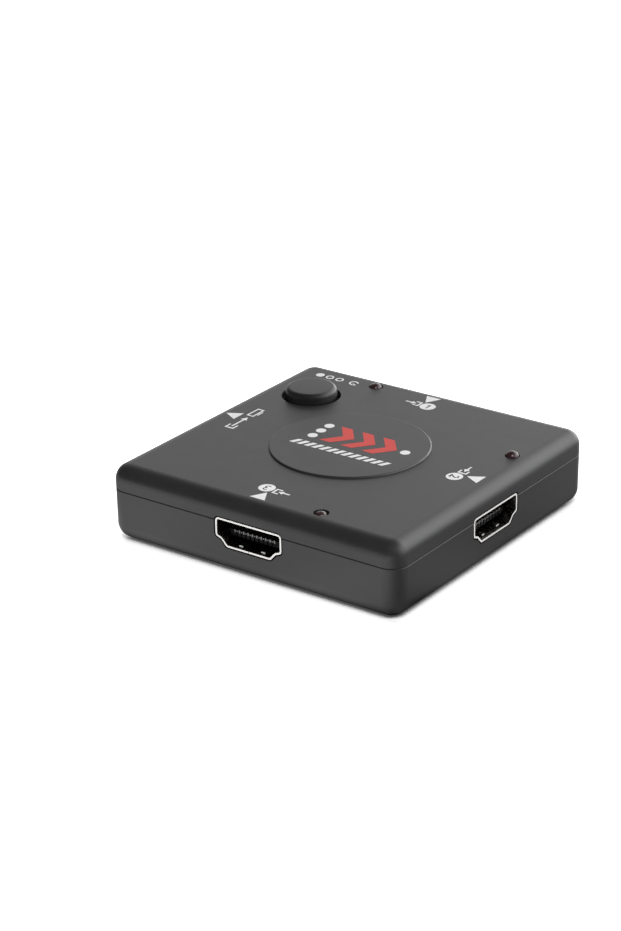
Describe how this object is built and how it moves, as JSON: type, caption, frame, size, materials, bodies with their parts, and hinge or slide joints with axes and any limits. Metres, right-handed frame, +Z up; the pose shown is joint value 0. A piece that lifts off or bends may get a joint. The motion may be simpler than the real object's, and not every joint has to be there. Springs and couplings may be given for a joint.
{
  "type": "video input switch box",
  "caption": "Small square black switch box that sends one of several video sockets to an output socket, with a round select button and indicator lamps.",
  "frame": {"origin": "middle of the underside, on the surface that the box rests on", "axes": "+Z up through the top cover; -Y out of the face with input 3, +X out of the face with input 2, +Y out of the face with input 1, -X out of the face with the output"},
  "size_m": [0.0656, 0.0656, 0.0171],
  "materials": {
    "case": "fine moulded texture, black",
    "button": "smooth satin, black",
    "board": "dark green solder mask",
    "socket_shell": "bright nickel plate",
    "insulator": "black",
    "contact": "dull tin plate",
    "lamp_lens": "dark red, see-through resin",
    "lead": "tinned",
    "switch_metal": "bare",
    "switch_plastic": "black",
    "chip": "black moulding",
    "resistor": "black",
    "capacitor": "tan",
    "screw": "zinc plate"
  },
  "bodies": {
    "case": {"bottom_case": "case", "top_cover": "case", "main_board": "board", "in_1_shell": "socket_shell", "in_1_insulator": "insulator", "in_1_contacts": "contact", "in_2_shell": "socket_shell", "in_2_insulator": "insulator", "in_2_contacts": "contact", "in_3_shell": "socket_shell", "in_3_insulator": "insulator", "in_3_contacts": "contact", "out_shell": "socket_shell", "out_insulator": "insulator", "out_contacts": "contact", "lamp_1_lens": "lamp_lens", "lamp_1_leads": "lead", "lamp_2_lens": "lamp_lens", "lamp_2_leads": "lead", "lamp_3_lens": "lamp_lens", "lamp_3_leads": "lead", "push_switch_base": "switch_plastic", "push_switch_cover": "switch_metal", "push_switch_dome": "switch_metal", "push_switch_terminals": "lead", "switch_chip": "chip", "switch_chip_leads": "lead", "regulator": "chip", "regulator_leads": "lead", "chip_resistors": "resistor", "chip_capacitors": "capacitor", "screw_1": "screw", "screw_2": "screw", "screw_3": "screw", "screw_4": "screw"},
    "button": {"select_button": "button"},
    "plunger": {"push_switch_plunger": "switch_plastic"}
  },
  "joints": [
    {"name": "button_press", "type": "slide", "parent": "case", "child": "button", "axis": [0, 0, 1], "range_m": [-0.0003, 0], "stiffness_N_per_m": 5000},
    {"name": "plunger_press", "type": "slide", "parent": "case", "child": "plunger", "axis": [0, 0, 1], "range_m": [-0.0003, 0], "deforming": ["push_switch_dome"]}
  ],
  "couplings": [
    {"joint": "plunger_press", "follows": "button_press", "ratio": 1}
  ]
}
